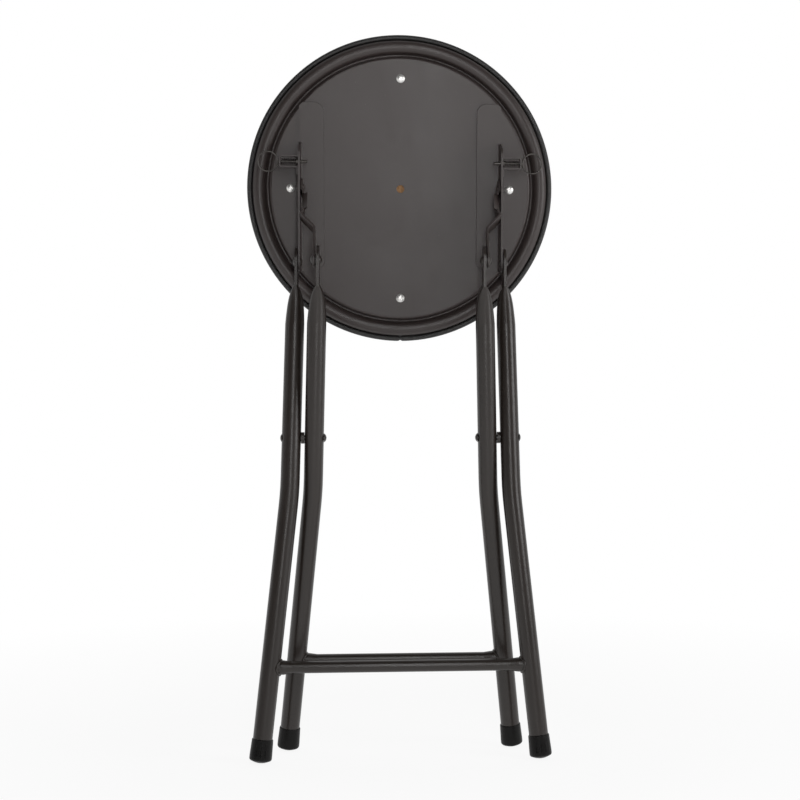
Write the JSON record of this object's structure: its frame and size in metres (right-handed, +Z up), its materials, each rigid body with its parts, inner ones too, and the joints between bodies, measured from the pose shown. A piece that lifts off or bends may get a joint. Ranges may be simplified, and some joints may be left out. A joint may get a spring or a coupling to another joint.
{
  "type": "folding stool",
  "caption": "Round padded stool that folds flat: two crossed tube leg frames, L brackets, zig-zag links and spring pins under a pressed steel seat pan.",
  "frame": {"origin": "on the floor under the middle of the folded stool", "axes": "+Z up, +X across the stool along the hinge axes, the underside of the folded seat faces -Y"},
  "size_m": [0.3647, 0.1528, 0.8472],
  "materials": {
    "leg_paint": "semi-gloss dark paint",
    "seat_paint": "semi-gloss dark paint over pressed steel",
    "rivet_steel": "painted rivet heads",
    "zinc": "bright zinc plating",
    "cap_rubber": "matt black moulded cap",
    "vinyl": "black grained vinyl",
    "foam": "open-cell foam",
    "plywood": "unfinished board"
  },
  "bodies": {
    "outer_frame": {"outer_leg_left": "leg_paint", "outer_leg_right": "leg_paint", "outer_crossbar": "leg_paint", "outer_foot_left": "cap_rubber", "outer_foot_right": "cap_rubber", "scissor_rivet_left": "rivet_steel", "scissor_rivet_right": "rivet_steel", "scissor_spacer_left": "rivet_steel", "scissor_spacer_right": "rivet_steel", "bracket_rivet_left": "rivet_steel", "bracket_rivet_right": "rivet_steel"},
    "inner_frame": {"inner_leg_left": "leg_paint", "inner_leg_right": "leg_paint", "inner_crossbar": "leg_paint", "inner_foot_left": "cap_rubber", "inner_foot_right": "cap_rubber", "link_rivet_left": "rivet_steel", "link_rivet_right": "rivet_steel", "link_washer_left": "rivet_steel", "link_washer_right": "rivet_steel"},
    "seat": {"seat_pan": "seat_paint", "seat_board": "plywood", "seat_foam": "foam", "seat_cover": "vinyl", "seat_piping": "vinyl", "seat_screws": "zinc", "bracket_left": "seat_paint", "bracket_right": "seat_paint", "pin_housing_left": "seat_paint", "pin_housing_right": "seat_paint", "seat_rivet_left": "rivet_steel", "seat_rivet_right": "rivet_steel", "pin_spring_left": "zinc", "pin_spring_right": "zinc"},
    "link_arm_left": {"link_left": "seat_paint", "link_stud_left": "rivet_steel"},
    "link_arm_right": {"link_right": "seat_paint", "link_stud_right": "rivet_steel"},
    "lock_left": {"lock_pin_left": "zinc", "pin_collar_left": "zinc"},
    "lock_right": {"lock_pin_right": "zinc", "pin_collar_right": "zinc"}
  },
  "joints": [
    {"name": "fold", "type": "hinge", "parent": "outer_frame", "child": "inner_frame", "pos_m": [0, -0.03194, 0.36808], "axis": [1, 0, 0], "range_deg": [0, 42.32]},
    {"name": "seat_turn", "type": "hinge", "parent": "outer_frame", "child": "seat", "pos_m": [0, -0.01399, 0.57329], "axis": [1, 0, 0], "range_deg": [0, 106.21]},
    {"name": "link_turn_left", "type": "hinge", "parent": "seat", "child": "link_arm_left", "pos_m": [-0.1158, -0.0126, 0.66075], "axis": [1, 0, 0], "range_deg": [-146.52, 0]},
    {"name": "link_turn_right", "type": "hinge", "parent": "seat", "child": "link_arm_right", "pos_m": [0.1158, -0.0126, 0.66075], "axis": [1, 0, 0], "range_deg": [-146.52, 0]},
    {"name": "pin_pull_left", "type": "slide", "parent": "seat", "child": "lock_left", "axis": [-1, 0, 0], "range_m": [0, 0.008], "stiffness_N_per_m": 800, "springref_m": -0.003, "deforming": ["pin_spring_left"]},
    {"name": "pin_pull_right", "type": "slide", "parent": "seat", "child": "lock_right", "axis": [1, 0, 0], "range_m": [0, 0.008], "stiffness_N_per_m": 800, "springref_m": -0.003, "deforming": ["pin_spring_right"]}
  ],
  "couplings": [
    {"joint": "seat_turn", "follows": "fold", "ratio": 2.5085},
    {"joint": "link_turn_left", "follows": "fold", "ratio": -3.461},
    {"joint": "link_turn_right", "follows": "fold", "ratio": -3.461}
  ]
}
